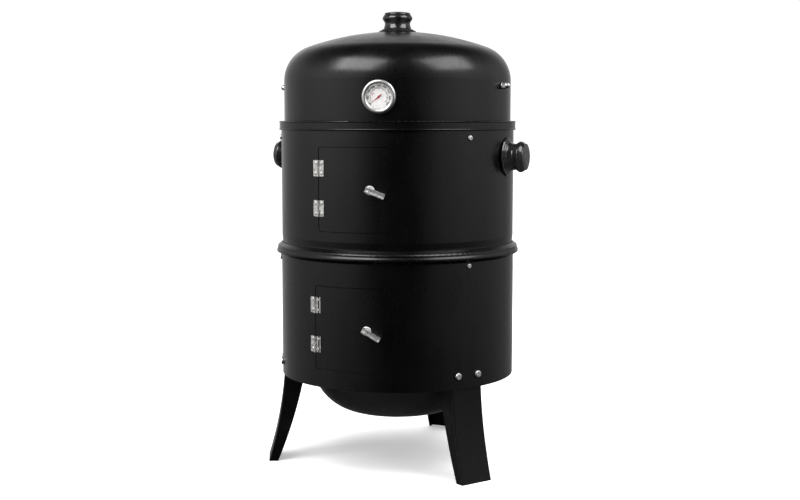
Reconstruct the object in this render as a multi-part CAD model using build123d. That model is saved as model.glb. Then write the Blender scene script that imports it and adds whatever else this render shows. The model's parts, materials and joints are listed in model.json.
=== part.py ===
from build123d import *
import math
import os

os.makedirs("parts", exist_ok=True)

# Upright three-section charcoal smoker, in millimetres. The origin is on the ground, on the axis of
# the barrels. +Z is up and the doors face -Y. An azimuth is in degrees from the front (-Y) towards +X.
# "Outward" means away from the axis of the barrels.

# Stock
SHEET = 1.0
LEG_SHEET = 1.5
BRACKET_SHEET = 1.5
SUPPORTS = (60.0, 180.0, 300.0)  # azimuths of the legs and of the grate brackets

# Lower barrel, with the rolled bead that the upper barrel stands in
LOWER_RADIUS = 204.6
LOWER_BOTTOM = 155.5
BEAD_BOTTOM = 366.5
BEAD_RADIUS = 213.2
BEAD_TOP = 387.5
BEAD_STEP = 1.8

# Upper barrel, with the stepped collar that the lid stands in
UPPER_RADIUS = 203.6
SPIGOT_RADIUS = 202.6
SPIGOT_PLAY = 0.25
UPPER_BOTTOM = 368.0
COLLAR_BOTTOM = 583.0
COLLAR_RADIUS = 206.5
COLLAR_TOP = 598.0
RIM_WIRE = 1.6
RIM_RADIUS = COLLAR_RADIUS - 0.9
UPPER_TURN = 1.6  # the upper barrel is set down this far round from the lower one

# Lid
LID_RADIUS = 198.0
LID_SEAT = COLLAR_BOTTOM + SHEET
LID_FLANGE_RADIUS = 203.7
SKIRT_TOP = 667.0
SHOULDER_RADIUS = 61.5
LID_APEX = 752.4

# Doors and their hinges
DOOR_HALF_ANGLE = 17.9
DOOR_HEIGHT = 139.0
DOOR_GAP = 0.8
HINGE_RELIEF = 0.9  # more room on the hinge side, where the door's inner corner swings
DOOR_CORNER = 5.0
DOOR_PROUD = 0.3
STOP_OVERLAP = 8.0
STOP_WIDTH = 18.0
HINGE_HEIGHT = 26.5
HINGE_SPACING = 66.0
LEAF_WIDTH = 10.4
LEAF_SHEET = 1.0
KNUCKLE_RADIUS = 1.9
HINGE_STANDOFF = 2.2
PIN_RADIUS = 1.0
RUNNING_CLEARANCE = 0.05
RIVET_ANGLE = 1.8
RIVET_SPACING = 17.0

# Latches: a quarter-turn lever outside and a tongue inside, a quarter turn apart
BOSS_RADIUS = 8.0
BOSS_HEIGHT = 3.5
SPINDLE_RADIUS = 2.5
LEVER_LENGTH = 26.5
LEVER_TAIL = 7.0
LEVER_WIDTH = 8.7
LEVER_DEPTH = 5.4
TONGUE_LENGTH = 37.0
TONGUE_WIDTH = 9.0
TONGUE_DEPTH = 6.6

# Legs: flared channels with the web outward
LEG_TOP = 205.0
LEG_WEB = 62.0
LEG_WEB_RADIUS = 200.0
LEG_BEND_TOP = 200.0
LEG_BEND_RADIUS = 673.0
LEG_FOOT_DEPTH = 16.0
LEG_TOP_INNER = 168.0
LEG_BOLT_HEIGHT = 177.3
LEG_BOLT_OFFSET = 20.5

# Brackets for the grates, one set in each barrel
BRACKET_WIDTH = 22.0
BRACKET_REACH = 25.0
SHELF_BELOW_SCREW = 14.0
BRACKET_ABOVE_SCREW = 8.0
LOWER_SCREW_HEIGHT = 360.0
UPPER_SCREW_HEIGHT = 570.0

# Bowls and grates
FIRE_BOWL_BOTTOM = 85.0
FIRE_BOWL_CORNER = 87.0
FIRE_BOWL_FOOT_RADIUS = 136.2
FIRE_BOWL_RIM = 183.0
WATER_BOWL_DEPTH = 70.0
WATER_BOWL_RIM = 189.0
GRATE_RADIUS = 183.0
CHARCOAL_GRATE_RADIUS = 137.0
CHARCOAL_GRATE_HEIGHT = FIRE_BOWL_BOTTOM + 43.6
GRATE_WIRE = 2.5
BAR_WIRE = 2.0
BAR_PITCH = 15.0
BAR_WELD = 0.5  # how far a bar's end runs past the middle of the ring
RESTING_GAP = 0.1

# Knobs
KNOB_HEIGHT = 35.5
KNOB_BOLT = 3.0
HANDLE_HEIGHT = 537.2

# Thermometer
DIAL_AZIMUTH = 16.5
DIAL_HEIGHT = 636.5
BEZEL_RADIUS = 27.5
BEZEL_INNER_RADIUS = 20.4
POINTER_REST = 218.0  # direction of the pointer, counter-clockwise from the right
STEM_LENGTH = 58.0

# Hook bar, a straight rod across the lid, in front of its middle
BAR_AZIMUTH = 5.0
BAR_OFFSET = 27.6
BAR_HEIGHT = 657.0
BAR_RADIUS = 3.0
HOOK_WIRE = 1.8
HOOK_DROP = 50.0
HOOK_PLACES = (-90.0, -30.0, 30.0, 90.0)


def keep(node, *shapes):
    """Write one named piece, made of one solid or a group of identical ones."""
    shape = shapes[0] if len(shapes) == 1 else Compound(children=list(shapes))
    export_step(shape, f"parts/{node}.step")


def facing(shape, azimuth, radius, height):
    """Stand a shape built along +Z on a barrel: +Z turns outward and +Y stays up."""
    return Rot(0, 0, azimuth) * Pos(0, -radius, height) * Rot(90, 0, 0) * shape


def turned(outline):
    """Turn a closed outline of radius and height about the axis of the barrels."""
    return revolve(Plane.XZ * make_face(outline), Axis.Z)


def sheet_along(path, thickness=SHEET):
    """A turned sheet whose outer face follows a path, with its thickness on the path's left."""
    wire = Wire(path.edges())
    return turned(wire.offset_2d(thickness, side=Side.LEFT, closed=True))


def tube(inner, outer, bottom, top):
    return Pos(0, 0, bottom) * extrude(Circle(outer) - Circle(inner), top - bottom)


def flat_inside(radius, half_width):
    """How far out a flat face of this half width can go inside a wall of this radius."""
    return math.sqrt(radius**2 - half_width**2)


# Fasteners, built along +Z with the seat of the head at zero


def cross_recess(size, depth, top):
    slot = Box(size, size / 5, depth) + Box(size / 5, size, depth)
    return Pos(0, 0, top - depth / 2 + 0.01) * slot


def pan_screw(head_radius, head_height, shank_radius, length):
    head = Pos(0, 0, head_height / 2) * Cylinder(head_radius, head_height)
    head = fillet(head.edges().group_by(Axis.Z)[-1], head_height * 0.6)
    shank = Pos(0, 0, -length / 2) * Cylinder(shank_radius, length)
    return head - cross_recess(head_radius * 1.1, head_height * 0.55, head_height) + shank


def rivet(grip):
    """A dome head outside, a shank, and a formed tail inside."""
    head = Pos(0, 0, 0.5) * Cylinder(2.6, 1.0)
    head = fillet(head.edges().group_by(Axis.Z)[-1], 0.8)
    shank = Pos(0, 0, -grip / 2) * Cylinder(1.5, grip)
    tail = Pos(0, 0, -grip - 0.6) * Cylinder(2.2, 1.2)
    return head + shank + tail


def hex_nut(across_flats, height, bore):
    """A nut that hangs down from zero."""
    body = extrude(RegularPolygon(across_flats / 2, 6, major_radius=False), -height)
    return body - Pos(0, 0, -height / 2) * Cylinder(bore, 2 * height)


def washer(radius, bore, height):
    return extrude(Circle(radius) - Circle(bore), height)


def knob():
    """A turned phenolic knob with two ridges round its plate, and a blind bore for its bolt."""
    plate = [(0, 0), (32.5, 0), (33.2, 1.1), (31.8, 3.0), (29.0, 3.4), (28.0, 4.9), (26.0, 5.3)]
    neck = [(24.2, 7.6), (22.5, 12.5), (22.3, 16.5)]
    ball = [(26.3, 24.6), (22.4, 32.2), (14.0, KNOB_HEIGHT)]
    side = Spline(plate[-1], *neck, *ball, tangents=[(-1, 0.6), (-1, 0.2)])
    outline = Polyline(*plate) + side + Polyline(ball[-1], (0, KNOB_HEIGHT), (0, 0))
    body = turned(outline)
    return body - Pos(0, 0, 9) * Cylinder(KNOB_BOLT + RUNNING_CLEARANCE, 22)


# Sheet metal of the sections


def lower_shell():
    """The lower barrel, with a bead of two steps under its open top."""
    step_radius = BEAD_RADIUS - BEAD_STEP
    path = FilletPolyline(
        (LOWER_RADIUS, LOWER_BOTTOM),
        (LOWER_RADIUS, BEAD_BOTTOM),
        (BEAD_RADIUS, BEAD_BOTTOM + 4.5),
        (BEAD_RADIUS, BEAD_BOTTOM + 8.0),
        (step_radius, BEAD_BOTTOM + 11.5),
        (step_radius, BEAD_TOP - 5.5),
        (SPIGOT_RADIUS + SPIGOT_PLAY + SHEET, BEAD_TOP),
        radius=[2.0, 2.5, 3.0, 3.0, 3.0],
    )
    return sheet_along(path)


def upper_shell():
    path = FilletPolyline(
        (SPIGOT_RADIUS, UPPER_BOTTOM),
        (SPIGOT_RADIUS, BEAD_TOP + 2.5),
        (UPPER_RADIUS, BEAD_TOP + 12.5),
        (UPPER_RADIUS, COLLAR_BOTTOM),
        (COLLAR_RADIUS, COLLAR_BOTTOM),
        (COLLAR_RADIUS, COLLAR_TOP - RIM_WIRE),
        radius=[8, 8, 1.0, 1.4],
    )
    rim = Pos(0, 0, COLLAR_TOP - RIM_WIRE) * Torus(RIM_RADIUS, RIM_WIRE)
    fold = Pos(0, 0, COLLAR_BOTTOM + RIM_WIRE / 2) * Torus(RIM_RADIUS, RIM_WIRE)
    fold &= tube(COLLAR_RADIUS - SHEET / 2, COLLAR_RADIUS + 5, COLLAR_BOTTOM - 5, COLLAR_BOTTOM + 5)
    return sheet_along(path) + rim + fold


def lid_shell():
    shoulder = Vector(LID_RADIUS - SHOULDER_RADIUS, SKIRT_TOP)
    fall = LID_APEX - SHOULDER_RADIUS - SKIRT_TOP
    crown_radius = (shoulder.X**2 + fall**2) / (2 * fall) + SHOULDER_RADIUS
    crown_centre = LID_APEX - crown_radius
    tangent = math.degrees(math.atan2(SKIRT_TOP - crown_centre, shoulder.X))
    hole = math.degrees(math.acos((KNOB_BOLT + 0.2) / crown_radius))
    crown = CenterArc((0, crown_centre), crown_radius, hole, tangent - hole)
    bend = CenterArc((shoulder.X, shoulder.Y), SHOULDER_RADIUS, tangent, -tangent)
    skirt = FilletPolyline(
        (LID_RADIUS, SKIRT_TOP),
        (LID_RADIUS, LID_SEAT + SHEET),
        (LID_FLANGE_RADIUS, LID_SEAT + SHEET),
        radius=2.0,
    )
    wire = Wire([crown.edge(), bend.edge(), *skirt.edges()])
    shell = turned(wire.offset_2d(SHEET, side=Side.RIGHT, closed=True))
    for end in (-1, 1):
        shell -= in_bar_frame(Pos(end * LID_RADIUS, 0, 0) * Rot(0, 90, 0) * Cylinder(3.4, 40))
    return shell - facing(Cylinder(5.2, 20), DIAL_AZIMUTH, LID_RADIUS, DIAL_HEIGHT)


def leg(azimuth):
    """A channel whose web curves outward to the foot, and whose flanges get narrower."""
    bend_x = LEG_WEB_RADIUS + LEG_BEND_RADIUS

    def web_at(height, inset=0.0):
        rise = LEG_BEND_TOP - height
        return (bend_x - math.sqrt((LEG_BEND_RADIUS + inset) ** 2 - rise**2), height)

    foot = web_at(0)
    outer = ThreePointArc(foot, web_at(100), web_at(LEG_BEND_TOP))
    inner_foot = (foot[0] - LEG_FOOT_DEPTH, 0)
    inner = ThreePointArc((LEG_TOP_INNER, 148), (192.5, 58), inner_foot)
    top = Polyline(
        web_at(LEG_BEND_TOP), (LEG_WEB_RADIUS, LEG_TOP), (LEG_TOP_INNER, LEG_TOP), (LEG_TOP_INNER, 148)
    )
    side = Plane.XZ * make_face(outer + top + inner + Line(inner_foot, foot))
    body = extrude(side, LEG_WEB / 2, both=True)
    outer_edges = [e for e in body.edges() if e.center().X > LEG_WEB_RADIUS - 1 and 1 < e.center().Z < 204]
    body = fillet(outer_edges, 2.5)
    below = web_at(-5, LEG_SHEET)
    inside_arc = ThreePointArc(below, web_at(100, LEG_SHEET), web_at(LEG_BEND_TOP, LEG_SHEET))
    inside_top = (LEG_WEB_RADIUS - LEG_SHEET, LEG_TOP + 5)
    rest = Polyline(web_at(LEG_BEND_TOP, LEG_SHEET), inside_top, (140, LEG_TOP + 5), (140, -5), below)
    core = extrude(Plane.XZ * make_face(inside_arc + rest), LEG_WEB / 2 - LEG_SHEET, both=True)
    body -= core
    for offset in (-LEG_BOLT_OFFSET, LEG_BOLT_OFFSET):
        body -= Pos(LEG_WEB_RADIUS, offset, LEG_BOLT_HEIGHT) * Rot(0, 90, 0) * Cylinder(3.2, 20)
    return Rot(0, 0, azimuth - 90) * body


def at_leg_bolts(shape, radius):
    """Copies of a shape built along +Z, at the two bolt places of each leg."""
    return [
        Rot(0, 0, azimuth) * Pos(offset, -radius, LEG_BOLT_HEIGHT) * Rot(90, 0, 0) * shape
        for azimuth in SUPPORTS
        for offset in (-LEG_BOLT_OFFSET, LEG_BOLT_OFFSET)
    ]


def brackets(wall_radius, screw_height):
    """Three angle brackets: a plate on the wall, and a shelf that reaches inward."""
    shelf = screw_height - SHELF_BELOW_SCREW
    top = screw_height + BRACKET_ABOVE_SCREW
    bend = FilletPolyline(
        (wall_radius, top),
        (wall_radius, shelf - BRACKET_SHEET),
        (wall_radius - BRACKET_REACH, shelf - BRACKET_SHEET),
        radius=2.5,
    )
    outline = Wire(bend.edges()).offset_2d(BRACKET_SHEET, side=Side.RIGHT, closed=True)
    angle = math.degrees(BRACKET_WIDTH / wall_radius)
    strip = revolve(Plane.XZ * make_face(outline), Axis.Z, revolution_arc=angle)
    strip = Rot(0, 0, -90 - angle / 2) * strip
    strip -= facing(Cylinder(2.7, 20), 0, wall_radius, screw_height)
    return [Rot(0, 0, azimuth) * strip for azimuth in SUPPORTS]


def grate(radius, wire, bar, height):
    """A welded wire grate: a ring, two braces in its plane, and bars across them."""
    pieces = []
    for side in (-1, 1):
        brace_x = side * radius * 0.42
        brace = 2 * math.sqrt(radius**2 - brace_x**2)
        pieces.append(Pos(brace_x, 0, 0) * Rot(90, 0, 0) * Cylinder(wire, brace))
    count = int((radius - BAR_PITCH / 2) / BAR_PITCH)
    for step in range(-count, count + 1):
        y = step * BAR_PITCH
        length = 2 * (math.sqrt(radius**2 - y**2) + BAR_WELD)
        pieces.append(Pos(0, y, wire + bar - 1) * Rot(0, 90, 0) * Cylinder(bar, length))
    return Pos(0, 0, height) * (Torus(radius, wire) + pieces)


def bowl(bottom, corner_radius, foot_radius, rim_height, rim_radius, slope):
    """A pressed bowl with a round corner, a sloping side and a flat rim that points outward."""
    side = foot_radius + (rim_height - bottom) / math.tan(math.radians(slope))
    path = FilletPolyline(
        (0, bottom),
        (foot_radius, bottom),
        (side, rim_height),
        (rim_radius, rim_height),
        radius=[corner_radius, 3.0],
    )
    return sheet_along(path)


# Doors, hinges and latches. Both barrels have the same set.


def door_prism(half_width, height, corner):
    return extrude(RectangleRounded(2 * half_width, height, corner), 30, both=True)


def window(section, clearance, relief=0.0):
    """A prism of the door's outline, larger by the clearance, and by the relief on the hinge side."""
    half_width = section["radius"] * math.sin(math.radians(DOOR_HALF_ANGLE)) + clearance / 2
    prism = door_prism(half_width + relief / 2, DOOR_HEIGHT + clearance, DOOR_CORNER + clearance / 2)
    prism = Pos(-relief / 2, 0, 0) * prism
    return facing(prism, section["middle"], section["radius"], section["door"])


def hinge_azimuth(section):
    return section["middle"] - DOOR_HALF_ANGLE


def hinge_heights(section):
    return [section["hinges"] + side * HINGE_SPACING / 2 for side in (-1, 1)]


def leaf(section, side):
    """One leaf, built at the front on the level z = 0: side -1 is on the barrel, 1 on the door."""
    seat = section["radius"] + (DOOR_PROUD if side > 0 else 0)
    plate = extrude(RectangleRounded(LEAF_WIDTH, HINGE_HEIGHT, 1.2), 10, both=True)
    plate = facing(Pos(side * (LEAF_WIDTH / 2 + 0.9), 0, 0) * plate, 0, seat, 0)
    plate &= tube(seat, seat + LEAF_SHEET, -HINGE_HEIGHT, HINGE_HEIGHT)
    axis_y = -(section["radius"] + HINGE_STANDOFF)
    third = HINGE_HEIGHT / 3
    own_levels = (-third, third) if side < 0 else (0,)
    other_levels = (0,) if side < 0 else (-third, third)
    for level in other_levels:
        plate -= Pos(0, axis_y, level) * Box(4.8, 8, third + 0.2)
    for level in own_levels:
        plate += Pos(0, axis_y, level) * Cylinder(KNUCKLE_RADIUS, third - 0.2)
    plate -= Pos(0, axis_y, 0) * Cylinder(PIN_RADIUS + RUNNING_CLEARANCE, 2 * HINGE_HEIGHT)
    for level in (-RIVET_SPACING / 2, RIVET_SPACING / 2):
        plate -= facing(Cylinder(1.55, 10), side * RIVET_ANGLE, seat, level)
    return plate


def at_hinges(section, shape):
    return [Pos(0, 0, z) * Rot(0, 0, hinge_azimuth(section)) * shape for z in hinge_heights(section)]


def at_rivets(section, shape, side, radius):
    return [
        facing(shape, hinge_azimuth(section) + side * RIVET_ANGLE, radius, z + level)
        for z in hinge_heights(section)
        for level in (-RIVET_SPACING / 2, RIVET_SPACING / 2)
    ]


def hinge_pin(section):
    """A plain pin with a small head at each end, built like a leaf."""
    pin = Cylinder(PIN_RADIUS, HINGE_HEIGHT)
    for end in (-1, 1):
        pin += Pos(0, 0, end * (HINGE_HEIGHT / 2 + 0.25)) * Cylinder(1.6, 0.5)
    return Pos(0, -(section["radius"] + HINGE_STANDOFF), 0) * pin


def door(section):
    inner = section["radius"] + DOOR_PROUD - SHEET
    panel = tube(inner, inner + SHEET, section["door"] - 100, section["door"] + 100)
    panel &= window(section, -DOOR_GAP)
    for hole in at_rivets(section, Cylinder(1.6, 20), 1, section["radius"]):
        panel -= hole
    return panel - at_latch(section, Cylinder(3.2, 20))


def stop_strip(section):
    """A strip spot-welded inside the barrel, behind the door's free edge."""
    outer = section["radius"] - SHEET
    edge = section["radius"] * math.sin(math.radians(DOOR_HALF_ANGLE))
    prism = door_prism(STOP_WIDTH / 2, DOOR_HEIGHT - 2, 2)
    prism = Pos(edge - STOP_OVERLAP + STOP_WIDTH / 2, 0, 0) * prism
    prism = facing(prism, section["middle"], section["radius"], section["door"])
    strip = tube(outer - SHEET, outer, section["door"] - 100, section["door"] + 100)
    return strip & prism


def at_latch(section, shape):
    return facing(shape, section["latch"], section["radius"], section["door"])


def latch_boss(section):
    body = Pos(0, 0, DOOR_PROUD) * extrude(Circle(BOSS_RADIUS), BOSS_HEIGHT)
    body = fillet(body.edges().group_by(Axis.Z)[-1], 1.4)
    return at_latch(section, body - Cylinder(SPINDLE_RADIUS + 0.08, 20))


def lever_seat():
    return DOOR_PROUD + BOSS_HEIGHT + 0.3


def latch_lever(section):
    """A folded channel, open outward, that passes over the boss and droops to the right."""
    seat = lever_seat()
    length = LEVER_LENGTH + LEVER_TAIL
    middle = (LEVER_LENGTH - LEVER_TAIL) / 2
    body = Pos(middle, 0, seat + LEVER_DEPTH / 2) * Box(length, LEVER_WIDTH, LEVER_DEPTH)
    folds = [e for e in body.edges().filter_by(Axis.X) if e.center().Z < seat + 0.1]
    body = fillet(folds, 1.6)
    groove = Pos(middle, 0, seat + 1.2 + LEVER_DEPTH / 2)
    body -= groove * Box(length + 2, LEVER_WIDTH - 2.4, LEVER_DEPTH)
    body -= Pos(0, 0, seat) * Cylinder(SPINDLE_RADIUS + 0.05, 20)
    return at_latch(section, Rot(0, 0, -section["droop"]) * body)


def latch_spindle(section):
    """A shank through boss and door, with a head on the lever and a formed end on the tongue."""
    head_seat = lever_seat() + 1.2
    tongue_back = -TONGUE_DEPTH - 1.5
    head = Pos(0, 0, head_seat) * extrude(Circle(3.0), 1.4)
    head = fillet(head.edges().group_by(Axis.Z)[-1], 0.9)
    shank = Pos(0, 0, tongue_back) * extrude(Circle(SPINDLE_RADIUS), head_seat - tongue_back)
    end = Pos(0, 0, tongue_back - 1.2) * extrude(Circle(3.4), 1.2)
    return at_latch(section, head + shank + end)


def latch_tongue(section):
    blade = SlotCenterPoint((TONGUE_LENGTH / 2 - 2.25, 0), (TONGUE_LENGTH - 4.5, 0), TONGUE_WIDTH)
    body = Pos(0, 0, -TONGUE_DEPTH) * extrude(blade, -1.5)
    body -= Cylinder(SPINDLE_RADIUS + 0.05, 40)
    return at_latch(section, Rot(0, 0, 90 - section["droop"]) * body)


def save_door_set(section):
    name = section["name"]
    keep(f"{name}_door", door(section))
    keep(f"{name}_door_stop", stop_strip(section))
    keep(f"{name}_hinge_barrel_leaves", *at_hinges(section, leaf(section, -1)))
    keep(f"{name}_hinge_door_leaves", *at_hinges(section, leaf(section, 1)))
    keep(f"{name}_hinge_pins", *at_hinges(section, hinge_pin(section)))
    grip = LEAF_SHEET + SHEET
    barrel_seat = section["radius"] + LEAF_SHEET
    keep(f"{name}_hinge_barrel_rivets", *at_rivets(section, rivet(grip + 0.02), -1, barrel_seat))
    keep(f"{name}_hinge_door_rivets", *at_rivets(section, rivet(grip + 0.02), 1, barrel_seat + DOOR_PROUD))
    keep(f"{name}_latch_boss", latch_boss(section))
    keep(f"{name}_latch_lever", latch_lever(section))
    keep(f"{name}_latch_spindle", latch_spindle(section))
    keep(f"{name}_latch_tongue", latch_tongue(section))


def cut_for_door(shell, section):
    shell -= window(section, DOOR_GAP, HINGE_RELIEF)
    for hole in at_rivets(section, Cylinder(1.6, 20), -1, section["radius"]):
        shell -= hole
    return shell


def save_brackets(section, screw_height):
    """The brackets of one barrel, with their screws and nuts. Returns the cutters for the wall."""
    name = section["name"]
    wall = section["radius"] - SHEET
    turn = Rot(0, 0, section["brackets"])
    plate = wall - BRACKET_SHEET
    screw = pan_screw(4.4, 2.6, 2.5, 10.0)
    nut_seat = flat_inside(plate, 4.7)
    keep(f"{name}_brackets", *[turn * piece for piece in brackets(wall, screw_height)])
    at_screws = [section["brackets"] + azimuth for azimuth in SUPPORTS]
    keep(f"{name}_bracket_screws", *[facing(screw, a, section["radius"], screw_height) for a in at_screws])
    nut = hex_nut(8.0, 4.0, 2.5 + RUNNING_CLEARANCE)
    keep(f"{name}_bracket_nuts", *[facing(nut, a, nut_seat, screw_height) for a in at_screws])
    return [facing(Cylinder(2.7, 20), a, section["radius"], screw_height) for a in at_screws]


# Azimuths: the middle of the door, the latch, and the first bracket's turn from its support.
# Heights: the middle of the door, and the middle between its hinges.
LOWER = {
    "name": "lower",
    "radius": LOWER_RADIUS,
    "middle": 1.25,
    "latch": 10.8,
    "brackets": 0.0,
    "door": 256.5,
    "hinges": 260.7,
    "droop": 29.0,
}
UPPER = {
    "name": "upper",
    "radius": UPPER_RADIUS,
    "middle": 3.4,
    "latch": 12.4,
    "brackets": 0.6,
    "door": 486.0,
    "hinges": 487.6,
    "droop": 21.0,
}


def save_lower_section():
    shell = cut_for_door(lower_shell(), LOWER)
    for hole in save_brackets(LOWER, LOWER_SCREW_HEIGHT):
        shell -= hole
    for hole in at_leg_bolts(Cylinder(3.2, 30), LOWER_RADIUS):
        shell -= hole
    keep("lower_barrel", shell)
    save_door_set(LOWER)
    for name, azimuth in zip(("front_right_leg", "rear_leg", "front_left_leg"), SUPPORTS):
        keep(name, leg(azimuth))
    head_seat = flat_inside(LOWER_RADIUS, LEG_BOLT_OFFSET - 6.0)
    keep("leg_bolts", *at_leg_bolts(pan_screw(6.0, 3.2, 3.0, 14.0), head_seat))
    nut_seat = LEG_WEB_RADIUS - LEG_SHEET - 0.05
    keep("leg_nuts", *at_leg_bolts(hex_nut(10.0, 5.0, 3.0 + RUNNING_CLEARANCE), nut_seat))


def save_handles(shell):
    """The two side knobs of the upper barrel, and their bolts from inside."""
    wall = UPPER_RADIUS - SHEET
    bolts = []
    for name, azimuth in (("right_handle", 90.0), ("left_handle", -90.0)):
        at = UPPER_TURN + azimuth
        keep(name, facing(knob(), at, UPPER_RADIUS, HANDLE_HEIGHT))
        seat = flat_inside(wall, 8.0)
        bolt = Rot(180, 0, 0) * pan_screw(5.6, 3.0, KNOB_BOLT, 18.0)
        bolts.append(facing(Pos(0, 0, -1.2) * bolt, at, seat, HANDLE_HEIGHT))
        bolts.append(facing(Pos(0, 0, -1.2) * washer(8.0, 3.2, 1.2), at, seat, HANDLE_HEIGHT))
        shell -= facing(Cylinder(3.2, 20), at, UPPER_RADIUS, HANDLE_HEIGHT)
    keep("handle_bolts", *bolts)
    return shell


def save_upper_section():
    shell = cut_for_door(upper_shell(), UPPER)
    for hole in save_brackets(UPPER, UPPER_SCREW_HEIGHT):
        shell -= hole
    keep("upper_barrel", save_handles(shell))
    save_door_set(UPPER)


def in_bar_frame(shape):
    """Place a shape built round the middle of the hook bar, with the bar along X."""
    return Rot(0, 0, BAR_AZIMUTH) * Pos(0, -BAR_OFFSET, BAR_HEIGHT) * shape


def save_hook_bar():
    outer_seat = math.sqrt(LID_RADIUS**2 - (BAR_OFFSET - 6) ** 2)
    inner_seat = math.sqrt((LID_RADIUS - SHEET) ** 2 - (BAR_OFFSET + 6) ** 2)
    rod = Rot(0, 90, 0) * Cylinder(BAR_RADIUS, 2 * (outer_seat + 9.0))
    keep("hook_bar", in_bar_frame(rod))
    cap = hex_nut(10.0, 6.0, BAR_RADIUS + RUNNING_CLEARANCE)
    dome = Pos(0, 0, 8.4) * Sphere(4.75) + Pos(0, 0, 6.4) * Cylinder(4.75, 4.0)
    acorn = Pos(0, 0, 6.0) * cap + dome
    acorn = acorn - Pos(0, 0, 4.4) * Cylinder(BAR_RADIUS + RUNNING_CLEARANCE, 9.0)
    ring = washer(6.0, BAR_RADIUS + 0.2, 1.2)
    nut = Pos(0, 0, -1.25) * hex_nut(10.0, 5.0, BAR_RADIUS + RUNNING_CLEARANCE)
    pieces = []
    for end in (-1, 1):
        outward = Rot(0, 90 * end, 0)
        pieces.append(in_bar_frame(Pos(end * (outer_seat + 1.3), 0, 0) * outward * acorn))
        pieces.append(in_bar_frame(Pos(end * (outer_seat + 0.05), 0, 0) * outward * ring))
        pieces.append(in_bar_frame(Pos(end * (inner_seat - 1.25), 0, 0) * outward * ring))
        pieces.append(in_bar_frame(Pos(end * inner_seat, 0, 0) * outward * nut))
    keep("hook_bar_nuts", *pieces)


def hook(place):
    """An S hook of round wire. Its upper bend goes round the bar, and its lower bend opens up."""
    upper = BAR_RADIUS + HOOK_WIRE + 0.35
    lower = 9.0
    over = CenterArc((0, 0), upper, -30, 210)
    shank = FilletPolyline(
        (-upper, 0), (-upper, -10), (lower, -HOOK_DROP + 10), (lower, -HOOK_DROP), radius=14
    )
    under = CenterArc((0, -HOOK_DROP), lower, 0, -190)
    path = Wire([over.edge(), *shank.edges(), under.edge()])
    path = Plane.YZ * path
    section = Plane(origin=path @ 0, z_dir=path % 0) * Circle(HOOK_WIRE)
    return in_bar_frame(Pos(place, 0, 0) * sweep(section, path))


def save_thermometer():
    """Built along +Z, with zero on the outside of the lid's skirt."""

    def put(node, shape):
        keep(node, facing(shape, DIAL_AZIMUTH, LID_RADIUS, DIAL_HEIGHT))

    case = Pos(0, 0, 0.1) * Cylinder(25.0, 7.0, align=(Align.CENTER, Align.CENTER, Align.MIN))
    case -= Pos(0, 0, 1.1) * Cylinder(24.2, 20.0, align=(Align.CENTER, Align.CENTER, Align.MIN))
    put("thermometer_case", case - Cylinder(4.9, 10))
    crest = (23.9, 9.6)
    outer = ThreePointArc((BEZEL_RADIUS, 6.0), (26.5, 8.7), crest)
    inner = ThreePointArc(crest, (21.9, 9.2), (BEZEL_INNER_RADIUS + 0.2, 7.9))
    seam = Polyline(inner @ 1, (BEZEL_INNER_RADIUS, 7.6), (BEZEL_INNER_RADIUS, 7.2), (25.05, 7.2), (25.05, 2.5))
    skirt = Polyline(seam @ 1, (27.2, 2.5), (BEZEL_RADIUS, 3.2), outer @ 0)
    put("thermometer_bezel", turned(outer + inner + seam + skirt))
    put("thermometer_lens", Pos(0, 0, 5.9) * extrude(Circle(24.0), 1.2))
    put("thermometer_dial", Pos(0, 0, 3.0) * extrude(Circle(24.0) - Circle(1.2), 0.6))
    tip = (13.8, 0)
    blade = make_face(Polyline((-5.5, -1.0), (0, -1.3), tip, (0, 1.3), (-5.5, 1.0), close=True))
    needle = Pos(0, 0, 4.4) * extrude(blade, 0.4)
    needle += Pos(0, 0, 3.1) * extrude(Circle(1.1), 1.5)
    needle += Pos(0, 0, 4.3) * extrude(Circle(2.0), 0.9)
    put("thermometer_pointer", Rot(0, 0, POINTER_REST) * needle)
    probe = Pos(0, 0, -STEM_LENGTH) * extrude(Circle(2.8), STEM_LENGTH)
    probe = fillet(probe.edges().group_by(Axis.Z)[0], 2.0)
    put("thermometer_stem", probe + Pos(0, 0, -7.0) * extrude(Circle(4.8), 9.0))
    nut_seat = flat_inside(LID_RADIUS - SHEET, 7.6) - LID_RADIUS
    put("thermometer_nut", Pos(0, 0, nut_seat) * hex_nut(13.0, 4.0, 4.8 + RUNNING_CLEARANCE))


def save_lid():
    keep("lid", lid_shell())
    crown = turned_crown()
    keep("lid_knob", Pos(0, 0, LID_APEX - 1.2) * knob() - crown)
    seat = LID_APEX - SHEET - 0.25
    bolt = Pos(0, 0, seat - 1.2) * Rot(180, 0, 0) * pan_screw(5.6, 3.0, KNOB_BOLT, 19.0)
    keep("lid_knob_bolt", bolt, Pos(0, 0, seat - 1.2) * washer(8.0, 3.2, 1.2))
    save_thermometer()
    save_hook_bar()
    for number, place in enumerate(HOOK_PLACES, 1):
        keep(f"meat_hook_{number}", hook(place))


def turned_crown():
    """The ball that the lid's crown is part of, to shape the knob's seat."""
    fall = LID_APEX - SHOULDER_RADIUS - SKIRT_TOP
    run = LID_RADIUS - SHOULDER_RADIUS
    crown_radius = (run**2 + fall**2) / (2 * fall) + SHOULDER_RADIUS
    return Pos(0, 0, LID_APEX - crown_radius) * Sphere(crown_radius)


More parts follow.
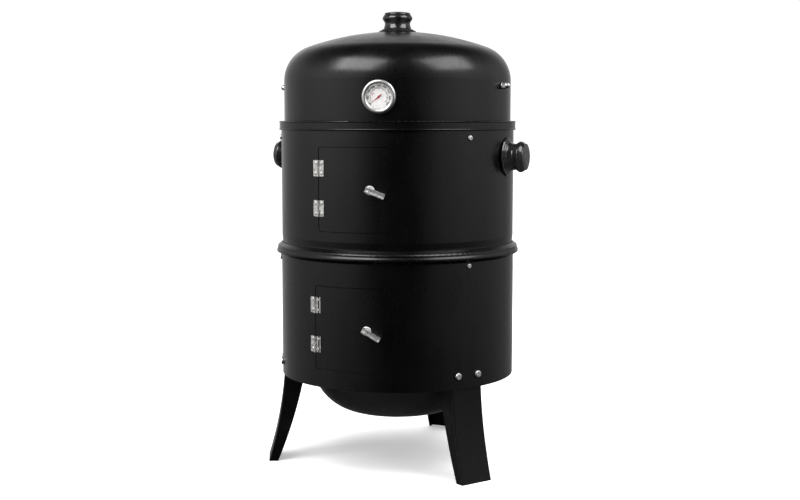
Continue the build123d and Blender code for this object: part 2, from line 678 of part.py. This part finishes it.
def save_inside():
    """Bowls and grates, from the bottom up."""
    fire = bowl(FIRE_BOWL_BOTTOM, FIRE_BOWL_CORNER, FIRE_BOWL_FOOT_RADIUS, LEG_TOP, FIRE_BOWL_RIM, 78.0)
    keep("fire_bowl", fire)
    keep("charcoal_grate", grate(CHARCOAL_GRATE_RADIUS, BAR_WIRE, BAR_WIRE, CHARCOAL_GRATE_HEIGHT))
    shelf = LOWER_SCREW_HEIGHT - SHELF_BELOW_SCREW
    keep("water_bowl", bowl(shelf - WATER_BOWL_DEPTH, 40.0, 152.0, shelf, WATER_BOWL_RIM, 80.0))
    above_rim = shelf + SHEET + GRATE_WIRE + RESTING_GAP
    keep("lower_cooking_grate", grate(GRATE_RADIUS, GRATE_WIRE, BAR_WIRE, above_rim))
    upper_shelf = UPPER_SCREW_HEIGHT - SHELF_BELOW_SCREW
    on_shelf = upper_shelf + GRATE_WIRE + RESTING_GAP
    keep("upper_cooking_grate", grate(GRATE_RADIUS, GRATE_WIRE, BAR_WIRE, on_shelf))


save_lower_section()
save_upper_section()
save_lid()
save_inside()
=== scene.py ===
import json
import math

import bmesh
import bpy
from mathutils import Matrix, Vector


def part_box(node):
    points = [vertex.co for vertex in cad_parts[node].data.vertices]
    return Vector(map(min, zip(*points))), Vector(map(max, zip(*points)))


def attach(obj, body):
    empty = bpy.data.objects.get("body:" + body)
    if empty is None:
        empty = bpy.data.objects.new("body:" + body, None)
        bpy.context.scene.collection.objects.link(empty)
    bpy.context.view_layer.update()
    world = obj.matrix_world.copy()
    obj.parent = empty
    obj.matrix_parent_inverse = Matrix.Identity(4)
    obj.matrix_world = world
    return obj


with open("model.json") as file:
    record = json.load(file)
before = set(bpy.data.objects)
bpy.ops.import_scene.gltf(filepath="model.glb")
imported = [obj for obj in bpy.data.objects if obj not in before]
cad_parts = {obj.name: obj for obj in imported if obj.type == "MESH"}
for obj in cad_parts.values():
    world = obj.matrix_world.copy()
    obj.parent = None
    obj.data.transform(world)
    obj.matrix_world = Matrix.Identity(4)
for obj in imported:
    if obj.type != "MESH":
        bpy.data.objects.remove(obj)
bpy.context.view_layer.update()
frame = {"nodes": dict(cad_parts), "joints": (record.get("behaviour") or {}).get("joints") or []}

nodes = frame["nodes"]

# Driving values, in metres and degrees. Azimuth 0 is the front (-Y), and grows towards the right.
CAMERA_AZIMUTH = 25.0
CAMERA_DISTANCE = 2.25
CAMERA_HEIGHT = 0.5985
CAMERA_LENS = 57.25
AIM_RIGHT = 0.0044
AIM_HEIGHT = 0.3696
FLOOR_FILL = 0.40
GAUGE_AZIMUTH = 16.5
GAUGE_START = 218.0
GAUGE_SWEEP = 255.0
NUMBER_RADIUS = 0.0177
NUMBER_SIZE = 0.0042
SCALE_STEPS = 8
DASHES_PER_STEP = 5
DASH_INNER = 0.0131
LONG_DASH_INNER = 0.0120
DASH_OUTER = 0.0144
SCALE_LINE_OUTER = 0.0147
UP = Vector((0.0, 0.0, 1.0))


def facing(azimuth):
    """The unit vector that points outwards at an azimuth, and the one to its right."""
    turn = math.radians(azimuth)
    outward = Vector((math.sin(turn), -math.cos(turn), 0.0))
    right = Vector((math.cos(turn), math.sin(turn), 0.0))
    return outward, right


# ---------------------------------------------------------------- materials


class Shader:
    """A material with one Principled shader, and short calls for the nodes that feed it."""

    def __init__(self, name, constants):
        self.material = bpy.data.materials.new(name)
        self.material.use_nodes = True
        self.tree = self.material.node_tree
        self.surface = self.tree.nodes["Principled BSDF"]
        for socket, value in constants.items():
            self.surface.inputs[socket].default_value = value
        source = self.add("TexCoord")
        self.place = source.outputs["Object"]
        self.normal = source.outputs["Normal"]

    def add(self, kind, inputs=None, **settings):
        node = self.tree.nodes.new("ShaderNode" + kind)
        for key, value in settings.items():
            setattr(node, key, value)
        for key, value in (inputs or {}).items():
            self.feed(node.inputs[key], value)
        return node

    def feed(self, socket, value):
        if isinstance(value, bpy.types.NodeSocket):
            self.tree.links.new(value, socket)
        else:
            socket.default_value = value

    def noise(self, scale, detail=2.0, rough=0.5, stretch=(1.0, 1.0, 1.0), place=None):
        """Values about 0.5. Scale is in features per metre."""
        where = self.add("Mapping", {"Vector": place or self.place, "Scale": stretch}).outputs[0]
        made = self.add(
            "TexNoise", {"Vector": where, "Scale": scale, "Detail": detail, "Roughness": rough}
        )
        return made.outputs["Fac"]

    def cells(self, scale, feature="F1", output="Color"):
        made = self.add("TexVoronoi", {"Vector": self.place, "Scale": scale}, feature=feature)
        return made.outputs[output]

    def span(self, value, low, high, to_low=0.0, to_high=1.0):
        """The value, with low..high stretched to to_low..to_high and clamped."""
        made = self.add("MapRange", {
            "Value": value, "From Min": low, "From Max": high, "To Min": to_low, "To Max": to_high,
        })
        return made.outputs["Result"]

    def sum(self, first, second, operation="ADD"):
        made = self.add("Math", {0: first, 1: second}, operation=operation)
        return made.outputs[0]

    def tint(self, factor, first, second):
        """The colour that goes from first to second with the factor."""
        made = self.add("Mix", data_type="RGBA")
        sockets = {s.identifier: s for s in made.inputs}
        self.feed(sockets["Factor_Float"], factor)
        self.feed(sockets["A_Color"], first)
        self.feed(sockets["B_Color"], second)
        return next(s for s in made.outputs if s.identifier == "Result_Color")

    def colour(self, value):
        self.feed(self.surface.inputs["Base Color"], value)

    def roughness(self, value):
        self.feed(self.surface.inputs["Roughness"], value)

    def relief(self, *layers):
        """Bumps, each (height, depth in metres), from the broadest to the finest."""
        normal = None
        for height, depth in layers:
            inputs = {"Height": height, "Distance": depth, "Strength": 1.0}
            if normal is not None:
                inputs["Normal"] = normal
            normal = self.add("Bump", inputs).outputs[0]
        self.feed(self.surface.inputs["Normal"], normal)

    def inward(self, centre_height=None):
        """1 on faces that look towards the axis, or towards a point on it, and 0 on those that look away."""
        if centre_height is None:
            arm = self.add("VectorMath", {0: self.place, 1: (1.0, 1.0, 0.0)}, operation="MULTIPLY")
        else:
            arm = self.add(
                "VectorMath", {0: self.place, 1: (0.0, 0.0, centre_height)}, operation="SUBTRACT"
            )
        along = self.add("VectorMath", {0: arm.outputs[0], 1: self.normal}, operation="DOT_PRODUCT")
        return self.span(along.outputs["Value"], -0.01, -0.03)


def grey(level, alpha=1.0):
    return (level, level, level, alpha)


def enamel(name, level, rough, centre_height=None):
    """Black enamel on pressed sheet: faint orange peel, slow waves of the sheet, a dull sooted inside."""
    made = Shader(name, {"Metallic": 0.0, "IOR": 1.5, "Specular IOR Level": 0.5})
    clouds = made.noise(7.0, 5.0, 0.6)
    smears = made.noise(26.0, 6.0, 0.65, (1.0, 1.0, 0.35))
    flecks = made.span(made.noise(1900.0, 1.0), 0.70, 0.80)
    soot = made.noise(38.0, 7.0, 0.7)
    inside = made.inward(centre_height)
    outer = made.tint(made.span(clouds, 0.3, 0.7), grey(level * 0.75), grey(level * 1.3))
    outer = made.tint(made.sum(flecks, 0.14, "MULTIPLY"), outer, grey(0.05))
    inner = made.tint(soot, (0.010, 0.009, 0.008, 1.0), (0.034, 0.028, 0.023, 1.0))
    made.colour(made.tint(inside, outer, inner))
    smeared = made.span(smears, 0.3, 0.7, rough - 0.05, rough + 0.06)
    gloss = made.sum(smeared, made.sum(flecks, 0.2, "MULTIPLY"))
    made.roughness(made.sum(gloss, made.sum(inside, 0.32, "MULTIPLY")))
    made.relief(
        (made.noise(9.0, 1.0), 0.0006),
        (made.noise(620.0, 1.0), 0.000012),
        (made.noise(2600.0, 2.0), 0.000004),
    )
    return made.material


def porcelain(name, level):
    """Dark vitreous enamel of the bowls, with small pale specks in the glaze."""
    made = Shader(name, {"IOR": 1.52, "Coat Weight": 0.15, "Coat Roughness": 0.2})
    specks = made.span(made.cells(420.0, output="Distance"), 0.17, 0.10)
    thin = made.span(made.noise(60.0, 3.0), 0.45, 0.62)
    base = made.tint(made.noise(11.0, 4.0), grey(level * 0.7), grey(level * 1.3))
    made.colour(made.tint(made.sum(specks, made.sum(thin, 0.35, "MULTIPLY"), "MULTIPLY"), base, grey(0.30)))
    made.roughness(made.span(made.noise(45.0, 5.0), 0.3, 0.7, 0.34, 0.5))
    made.relief((made.noise(30.0, 2.0), 0.0004), (made.noise(800.0, 2.0), 0.00002))
    return made.material


def powder_coat(name, level, rough):
    """Black powder coat of the legs: a fine even pebble and a few dull rubs."""
    made = Shader(name, {"IOR": 1.5, "Specular IOR Level": 0.22})
    rubs = made.span(made.noise(24.0, 7.0, 0.7), 0.56, 0.74)
    base = made.tint(made.noise(13.0, 4.0), grey(level * 0.7), grey(level * 1.3))
    made.colour(made.tint(made.sum(rubs, 0.12, "MULTIPLY"), base, grey(0.05)))
    made.roughness(made.span(made.noise(70.0, 4.0), 0.3, 0.7, rough - 0.05, rough + 0.08))
    made.relief((made.noise(16.0, 1.0), 0.0003), (made.noise(1300.0, 2.0), 0.00002))
    return made.material


def zinc(name, level, rough, mottle=1.0, shaded_knuckles=(), dull=0.55):
    """Zinc plate on pressed steel: uneven crystal patches, fine drawing lines and dull spots, with painted
    shade round any knuckle axes given.
    """
    made = Shader(name, {"Metallic": 1.0})
    crystals = made.add("SeparateColor", {0: made.cells(330.0)}).outputs[0]
    patches = made.noise(240.0, 3.0, 0.6)
    mixed = made.sum(made.sum(crystals, 0.45 * mottle, "MULTIPLY"), patches)
    plate = made.tint(
        made.span(mixed, 0.3, 0.95),
        (level * dull, level * dull, level * dull * 1.02, 1.0),
        (level, level * 0.985, level * 0.95, 1.0),
    )
    made.colour(plate)
    # Painted shade: the plate goes near black round each hinge knuckle, standing in for the shadowed gap
    # between the leaves.
    if shaded_knuckles:
        paint_knuckle_shade(made, plate, shaded_knuckles)
    made.roughness(made.span(made.sum(patches, crystals), 0.5, 1.3, rough - 0.08, rough + 0.12))
    lines = made.noise(2400.0, 2.0, 0.5, (1.0, 1.0, 0.08))
    made.relief((made.noise(170.0, 2.0), 0.0005 * mottle), (lines, 0.000012))
    return made.material


def paint_knuckle_shade(made, material_colour, axes):
    """Paints shade on a plated surface near upright axes: the hinge knuckles and the gap between their
    leaves go near black.
    """
    near = None
    for x, y in axes:
        arm = made.add("VectorMath", {0: made.place, 1: (x, y, 0.0)}, operation="SUBTRACT").outputs[0]
        flat = made.add("VectorMath", {0: arm, 1: (1.0, 1.0, 0.0)}, operation="MULTIPLY").outputs[0]
        reach = made.add("VectorMath", {0: flat}, operation="LENGTH").outputs["Value"]
        share = made.span(reach, 0.0019, 0.0013)
        near = share if near is None else made.sum(near, share, "MAXIMUM")
    made.colour(made.tint(near, material_colour, grey(0.02)))
    return near


def bright_steel(name, level, rough, stretch=(1.0, 1.0, 1.0)):
    """Bright plated or drawn steel with fine lines along the work and small stains."""
    made = Shader(name, {"Metallic": 1.0})
    stains = made.noise(130.0, 5.0, 0.65)
    made.colour(made.tint(stains, grey(level * 0.8), (level, level * 0.99, level * 0.97, 1.0)))
    made.roughness(made.span(stains, 0.3, 0.7, rough - 0.04, rough + 0.1))
    made.relief(
        (made.noise(420.0, 2.0, 0.5, stretch), 0.00003),
        (made.noise(3000.0, 1.0, 0.5, stretch), 0.000006),
    )
    return made.material


def turned_steel(name, level, rough):
    """Polished sheet steel of the gauge rim, with fine rings round the gauge's axis."""
    made = Shader(name, {"Metallic": 1.0})
    outward, right = facing(GAUGE_AZIMUTH)
    centre = gauge_point(0.0, 0.0, 0.0)
    arm = made.add("VectorMath", {0: made.place, 1: tuple(centre)}, operation="SUBTRACT").outputs[0]
    across = made.add("VectorMath", {0: arm, 1: tuple(right)}, operation="DOT_PRODUCT").outputs["Value"]
    along = made.add("VectorMath", {0: arm, 1: tuple(outward)}, operation="DOT_PRODUCT").outputs["Value"]
    height = made.add("SeparateXYZ", {0: arm}).outputs[2]
    squares = made.sum(made.sum(across, 2.0, "POWER"), made.sum(height, 2.0, "POWER"))
    reach = made.sum(squares, 0.5, "POWER")
    rings = made.add("CombineXYZ", {0: reach, 1: along}).outputs[0]
    fine = made.noise(3200.0, 2.0, 0.6, place=rings)
    stains = made.noise(150.0, 4.0)
    made.colour(made.tint(stains, grey(level * 0.84), (level, level * 0.985, level * 0.96, 1.0)))
    made.roughness(made.span(fine, 0.3, 0.7, rough - 0.05, rough + 0.08))
    made.relief((made.noise(120.0, 1.0), 0.00005), (fine, 0.000008))
    return made.material


def phenolic(name):
    """Glossy black moulded knobs: a hard skin, faint flow marks, fine rubs where they are held."""
    made = Shader(name, {"IOR": 1.56, "Coat Weight": 0.3, "Coat Roughness": 0.06})
    flow = made.noise(55.0, 4.0, 0.6, (1.0, 1.0, 2.5))
    rubs = made.span(made.noise(900.0, 4.0, 0.7, (1.0, 0.2, 1.0)), 0.62, 0.78)
    base = made.tint(flow, (0.006, 0.006, 0.006, 1.0), (0.017, 0.016, 0.016, 1.0))
    made.colour(made.tint(made.sum(rubs, 0.15, "MULTIPLY"), base, grey(0.08)))
    made.roughness(made.sum(made.span(flow, 0.3, 0.7, 0.13, 0.2), made.sum(rubs, 0.2, "MULTIPLY")))
    made.relief((made.noise(90.0, 2.0), 0.00006), (made.noise(1500.0, 2.0), 0.000004))
    return made.material


def dial_paint(name):
    """The dial's off-white print on aluminium, a little warmer towards one side."""
    made = Shader(name, {"IOR": 1.45})
    made.colour(made.tint(
        made.span(made.noise(40.0, 5.0, 0.6), 0.3, 0.7),
        (0.56, 0.525, 0.525, 1.0),
        (0.66, 0.63, 0.63, 1.0),
    ))
    made.roughness(made.span(made.noise(900.0, 3.0), 0.3, 0.7, 0.42, 0.55))
    made.relief((made.noise(5000.0, 2.0), 0.000004),)
    return made.material


def ink(name, first, second):
    """Printing ink or thin paint, a little uneven in its cover."""
    made = Shader(name, {"IOR": 1.48})
    made.colour(made.tint(made.noise(2200.0, 4.0, 0.7), first, second))
    made.roughness(made.span(made.noise(1200.0, 3.0), 0.3, 0.7, 0.4, 0.6))
    made.relief((made.noise(4200.0, 2.0), 0.000004),)
    return made.material


def lens_glass(name):
    """Flat window glass with faint wipe marks, which lets light through to the dial."""
    made = Shader(name, {"Base Color": (0.97, 0.985, 0.98, 1.0), "IOR": 1.47, "Transmission Weight": 1.0})
    wipes = made.noise(300.0, 5.0, 0.7, (1.0, 1.0, 0.25))
    made.roughness(made.span(wipes, 0.45, 0.75, 0.01, 0.07))
    made.relief((made.noise(60.0, 1.0), 0.00002),)
    clear = made.add("BsdfTransparent", {"Color": (0.95, 0.96, 0.955, 1.0)})
    rays = made.add("LightPath")
    both = made.add("MixShader", {
        0: rays.outputs["Is Shadow Ray"], 1: made.surface.outputs[0], 2: clear.outputs[0],
    })
    made.tree.links.new(both.outputs[0], made.tree.nodes["Material Output"].inputs["Surface"])
    return made.material


def paint(material, *names):
    """Gives the CAD nodes of these names that material in every slot."""
    for name in names:
        slots = nodes[name].material_slots
        if not slots:
            nodes[name].data.materials.append(material)
        for slot in slots:
            slot.material = material


# ---------------------------------------------------------------- gauge print

GAUGE_SEAT = (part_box("thermometer_dial")[0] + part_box("thermometer_dial")[1]) / 2.0
DIAL_THICKNESS = 0.0006
PRINT_THICKNESS = 0.00008


def gauge_point(right, up, out):
    """A point on the gauge, from the middle of the dial plate."""
    outward, across = facing(GAUGE_AZIMUTH)
    return GAUGE_SEAT + across * right + UP * up + outward * out


def gauge_angle(share):
    """The angle of a share of the scale, from the cold end at 0 to the hot end at 1."""
    return math.radians(GAUGE_START - GAUGE_SWEEP * share)


def add_print_bar(mesh, angle, inner, outer, width):
    """A flat printed bar along the dial's radius."""
    low = DIAL_THICKNESS / 2
    corners = []
    for out in (low, low + PRINT_THICKNESS):
        for reach, side in ((inner, -1), (outer, -1), (outer, 1), (inner, 1)):
            right = reach * math.cos(angle) - side * width / 2 * math.sin(angle)
            up = reach * math.sin(angle) + side * width / 2 * math.cos(angle)
            corners.append(mesh.verts.new(gauge_point(right, up, out)))
    for loop in ((3, 2, 1, 0), (4, 5, 6, 7), (0, 1, 5, 4), (1, 2, 6, 5), (2, 3, 7, 6), (3, 0, 4, 7)):
        mesh.faces.new([corners[i] for i in loop])


def add_print_arc(mesh, start, end, inner, outer):
    """A flat printed band round the dial, between two shares of the scale."""
    steps = max(2, int(abs(end - start) * 96))
    low = DIAL_THICKNESS / 2
    rings = []
    for step in range(steps + 1):
        angle = gauge_angle(start + (end - start) * step / steps)
        ring = []
        for reach, out in ((inner, 0), (outer, 0), (outer, 1), (inner, 1)):
            spot = gauge_point(reach * math.cos(angle), reach * math.sin(angle), low + out * PRINT_THICKNESS)
            ring.append(mesh.verts.new(spot))
        rings.append(ring)
    for first, second in zip(rings, rings[1:]):
        for i in range(4):
            j = (i + 1) % 4
            mesh.faces.new((first[i], first[j], second[j], second[i]))
    mesh.faces.new(rings[0][::-1])
    mesh.faces.new(rings[-1])


def add_number(mesh, text, share, reach, size):
    """A printed number on the dial, upright along the radius."""
    curve = bpy.data.curves.new("number", "FONT")
    curve.body = text
    curve.size = size
    curve.align_x = "CENTER"
    curve.align_y = "CENTER"
    curve.extrude = PRINT_THICKNESS / 2
    curve.offset = size * 0.035
    shape = bpy.data.objects.new("number", curve)
    bpy.context.scene.collection.objects.link(shape)
    bpy.context.view_layer.update()
    flat = bpy.data.meshes.new_from_object(shape.evaluated_get(bpy.context.evaluated_depsgraph_get()))
    angle = gauge_angle(share)
    turn = angle - math.pi / 2
    for vertex in flat.vertices:
        x = vertex.co.x * math.cos(turn) - vertex.co.y * math.sin(turn) + reach * math.cos(angle)
        y = vertex.co.x * math.sin(turn) + vertex.co.y * math.cos(turn) + reach * math.sin(angle)
        vertex.co = gauge_point(x, y, DIAL_THICKNESS / 2 + PRINT_THICKNESS / 2 + vertex.co.z)
    mesh.from_mesh(flat)
    bpy.data.objects.remove(shape)
    bpy.data.curves.remove(curve)
    bpy.data.meshes.remove(flat)


def finished(mesh, name, material, body):
    """An object of the mesh, which rides on a body."""
    bmesh.ops.remove_doubles(mesh, verts=mesh.verts, dist=1e-7)
    bmesh.ops.recalc_face_normals(mesh, faces=mesh.faces)
    data = bpy.data.meshes.new(name)
    mesh.to_mesh(data)
    mesh.free()
    data.materials.append(material)
    piece = bpy.data.objects.new(name, data)
    bpy.context.scene.collection.objects.link(piece)
    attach(piece, body)
    return piece


def gauge_print():
    """The dial's scale: a ring of numbers, a ring of dashes inside it, and a fine arc between them."""
    black = ink("dial_ink", (0.012, 0.012, 0.013, 1.0), (0.05, 0.05, 0.052, 1.0))
    red = ink("dial_red_ink", (0.26, 0.03, 0.03, 1.0), (0.38, 0.06, 0.05, 1.0))
    numbers = bmesh.new()
    for step in range(SCALE_STEPS + 1):
        add_number(numbers, str(50 + 50 * step), step / SCALE_STEPS, NUMBER_RADIUS, NUMBER_SIZE)
    finished(numbers, "dial_numbers", black, "lid")
    dashes = bmesh.new()
    dash_count = SCALE_STEPS * DASHES_PER_STEP
    for step in range(dash_count + 1):
        major = step % DASHES_PER_STEP == 0
        inner = LONG_DASH_INNER if major else DASH_INNER
        width = 0.0009 if major else 0.0005
        add_print_bar(dashes, gauge_angle(step / dash_count), inner, DASH_OUTER, width)
    add_print_arc(dashes, 0.0, 1.0, DASH_OUTER, SCALE_LINE_OUTER)
    finished(dashes, "dial_dashes", black, "lid")
    zone = bmesh.new()
    add_print_arc(zone, 0.15, 0.30, 0.0103, 0.0112)
    finished(zone, "dial_smoking_zone", red, "lid")


# ---------------------------------------------------------------- paint everything

LID_CENTRE_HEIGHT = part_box("lid")[0].z + 0.01

BLACK_LID = enamel("lid_black_enamel", 0.0012, 0.27, LID_CENTRE_HEIGHT)
BLACK_UPPER = enamel("upper_black_enamel", 0.0009, 0.27)
BLACK_LOWER = enamel("lower_black_enamel", 0.0008, 0.28)
paint(BLACK_LID, "lid")
paint(BLACK_UPPER, "upper_barrel", "upper_door")
paint(BLACK_LOWER, "lower_barrel", "lower_door")
paint(powder_coat("leg_black_coat", 0.0014, 0.42), "front_left_leg", "front_right_leg", "rear_leg")
paint(powder_coat("bracket_black_coat", 0.007, 0.5),
      "lower_brackets", "upper_brackets", "lower_door_stop", "upper_door_stop")
paint(porcelain("bowl_porcelain", 0.0055), "fire_bowl", "water_bowl")
paint(phenolic("black_phenolic"), "lid_knob", "left_handle", "right_handle")

# The hinge axes, round which the hinge zinc gets painted shade.
HINGE_AXES = [joint["pos_m"][:2] for joint in frame["joints"] if joint["name"].endswith("door_hinge")]
HINGES = zinc("hinge_zinc", 0.97, 0.46, 1.3, HINGE_AXES)
LATCHES = zinc("latch_zinc", 0.97, 0.42, 0.3, dull=0.8)
FASTENERS = zinc("fastener_zinc", 0.97, 0.36, 0.4, dull=0.85)
for section in ("lower", "upper"):
    paint(HINGES, section + "_hinge_barrel_leaves", section + "_hinge_door_leaves", section + "_hinge_pins")
    paint(FASTENERS, section + "_hinge_barrel_rivets", section + "_hinge_door_rivets")
    paint(LATCHES, section + "_latch_lever", section + "_latch_boss",
          section + "_latch_spindle", section + "_latch_tongue")
    paint(FASTENERS, section + "_bracket_screws", section + "_bracket_nuts")
paint(FASTENERS, "leg_bolts", "leg_nuts", "handle_bolts", "lid_knob_bolt", "hook_bar_nuts")

WIRE = bright_steel("chromed_wire", 0.78, 0.16)
paint(WIRE, "upper_cooking_grate", "lower_cooking_grate", *["meat_hook_%d" % n for n in range(1, 5)])
paint(bright_steel("drawn_bar", 0.72, 0.24, (0.1, 1.0, 1.0)), "hook_bar")
paint(bright_steel("grate_steel", 0.42, 0.38), "charcoal_grate")

paint(turned_steel("gauge_rim_steel", 0.93, 0.36), "thermometer_bezel")
paint(turned_steel("gauge_case_steel", 0.62, 0.3), "thermometer_case", "thermometer_nut", "thermometer_stem")
paint(dial_paint("dial_paint"), "thermometer_dial")
paint(lens_glass("gauge_glass"), "thermometer_lens")
paint(ink("pointer_red_paint", (0.20, 0.02, 0.025, 1.0), (0.32, 0.04, 0.045, 1.0)), "thermometer_pointer")
gauge_print()


# ---------------------------------------------------------------- stage, light and camera


def pale_floor():
    """A wide pale floor, faintly lit from within so that shadows on it stay light grey."""
    mesh = bmesh.new()
    bmesh.ops.create_circle(mesh, cap_ends=True, segments=96, radius=30.0)
    data = bpy.data.meshes.new("floor")
    mesh.to_mesh(data)
    mesh.free()
    made = Shader("floor_paper", {"Specular IOR Level": 0.1, "Emission Strength": FLOOR_FILL})
    made.colour(made.tint(made.noise(3.0, 3.0), grey(0.90), grey(0.92)))
    made.roughness(made.span(made.noise(40.0, 2.0), 0.3, 0.7, 0.8, 0.9))
    data.materials.append(made.material)
    floor = bpy.data.objects.new("floor", data)
    floor.visible_glossy = False
    bpy.context.scene.collection.objects.link(floor)


# Brightness of the studio round the object, by degrees from the camera: at its height, and near the floor.
WALLS = (
    (-180, 0.95), (-165, 0.9), (-152, 0.62), (-142, 0.45), (-112, 0.48), (-70, 1.0), (-44, 0.85),
    (-30, 0.34), (-18, 0.0), (17, 0.0), (30, 0.25), (44, 0.60), (70, 0.80), (112, 0.52),
    (142, 0.30), (155, 0.48), (168, 0.8), (180, 0.95),
)
SKIRTING = (
    (-180, 0.7), (-165, 0.7), (-152, 0.55), (-142, 0.34), (-112, 0.30), (-70, 0.22), (-44, 0.08),
    (-28, 0.03), (-15, 0.01), (15, 0.01), (28, 0.02), (44, 0.05), (70, 0.11), (112, 0.22),
    (142, 0.22), (155, 0.36), (168, 0.6), (180, 0.7),
)


def studio_world():
    """White where the camera sees it. Gloss sees soft pale walls with a dark gap behind the camera."""
    world = bpy.data.worlds.new("studio")
    bpy.context.scene.world = world
    world.use_nodes = True
    tree = world.node_tree
    tree.nodes.clear()

    def add(kind, inputs=None, **settings):
        node = tree.nodes.new("ShaderNode" + kind)
        for key, value in settings.items():
            setattr(node, key, value)
        for key, value in (inputs or {}).items():
            if isinstance(value, bpy.types.NodeSocket):
                tree.links.new(value, node.inputs[key])
            else:
                node.inputs[key].default_value = value
        return node

    outward, right = facing(CAMERA_AZIMUTH)
    direction = add("TexCoord").outputs["Generated"]
    near = add("VectorMath", {0: direction, 1: tuple(outward)}, operation="DOT_PRODUCT").outputs["Value"]
    side = add("VectorMath", {0: direction, 1: tuple(right)}, operation="DOT_PRODUCT").outputs["Value"]
    height = add("SeparateXYZ", {0: direction}).outputs[2]
    azimuth = add("Math", {0: side, 1: near}, operation="ARCTAN2").outputs[0]
    turn = add("MapRange", {
        "Value": azimuth, "From Min": -math.pi, "From Max": math.pi, "To Min": 0.0, "To Max": 1.0,
    }).outputs["Result"]
    rings = []
    for levels in (WALLS, SKIRTING):
        ring = add("ValToRGB", {"Fac": turn})
        ring.color_ramp.interpolation = "EASE"
        stops = ring.color_ramp.elements
        stops[0].color = grey(levels[0][1])
        stops[1].color = grey(levels[-1][1])
        for degrees, level in levels[1:-1]:
            stops.new((degrees + 180.0) / 360.0).color = grey(level)
        rings.append(ring.outputs["Color"])
    rise = add("MapRange", {"Value": height, "From Min": -0.20, "From Max": 0.04}).outputs["Result"]
    room = add("Mix", data_type="VECTOR")
    share = add("Math", {0: rise, 1: 1.6}, operation="POWER").outputs[0]
    for socket, value in zip((0, 4, 5), (share, rings[1], rings[0])):
        tree.links.new(value, room.inputs[socket])
    below = add("MapRange", {
        "Value": height, "From Min": -0.5, "From Max": -0.2, "To Min": 0.12, "To Max": 1.0,
    }).outputs["Result"]
    ceiling = add("MapRange", {
        "Value": height, "From Min": 0.35, "From Max": 0.75, "To Min": 1.0, "To Max": 0.06,
    }).outputs["Result"]
    ends = add("Math", {0: below, 1: ceiling}, operation="MULTIPLY").outputs[0]
    studio = add("VectorMath", {0: room.outputs[1], "Scale": ends}, operation="SCALE")
    seen = add("Background", {"Color": grey(1.0), "Strength": 1.05})
    felt = add("Background", {"Color": studio.outputs[0], "Strength": 1.0})
    rays = add("LightPath")
    both = add("MixShader", {
        0: rays.outputs["Is Camera Ray"], 1: felt.outputs[0], 2: seen.outputs[0],
    })
    add("OutputWorld", {"Surface": both.outputs[0]})


def softbox(name, degrees, elevation, distance, width, depth, power):
    """A square soft light, its place given by degrees to the right of the camera and elevation."""
    outward = facing(CAMERA_AZIMUTH + degrees)[0]
    rise = math.radians(elevation)
    aim = Vector((0.0, 0.0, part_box("lid")[0].z))
    data = bpy.data.lights.new(name, "AREA")
    data.shape = "RECTANGLE"
    data.size = width
    data.size_y = depth
    data.energy = power
    lamp = bpy.data.objects.new(name, data)
    lamp.location = aim + (outward * math.cos(rise) + UP * math.sin(rise)) * distance
    lamp.rotation_euler = (aim - lamp.location).to_track_quat("-Z", "Y").to_euler()
    bpy.context.scene.collection.objects.link(lamp)
    return lamp


def light():
    studio_world()
    softbox("left_softbox", -46.0, 42.0, 2.3, 1.6, 1.3, 44.0)
    softbox("right_softbox", 60.0, 42.0, 2.3, 1.6, 1.3, 34.0)
    data = bpy.data.lights.new("overhead", "SUN")
    data.energy = 3.4
    data.angle = math.radians(75.0)
    lamp = bpy.data.objects.new("overhead", data)
    lamp.rotation_euler = (math.radians(-4.0), math.radians(3.0), 0.0)
    lamp.visible_glossy = False
    bpy.context.scene.collection.objects.link(lamp)


def camera():
    outward, right = facing(CAMERA_AZIMUTH)
    data = bpy.data.cameras.new("camera")
    data.sensor_width = 36.0
    data.lens = CAMERA_LENS
    data.clip_start = 0.05
    view = bpy.data.objects.new("camera", data)
    view.location = outward * CAMERA_DISTANCE + UP * CAMERA_HEIGHT
    aim = right * AIM_RIGHT + UP * AIM_HEIGHT
    view.rotation_euler = (aim - view.location).to_track_quat("-Z", "Y").to_euler()
    bpy.context.scene.collection.objects.link(view)
    bpy.context.scene.camera = view


pale_floor()
light()
camera()
bpy.context.scene.view_settings.view_transform = "Standard"
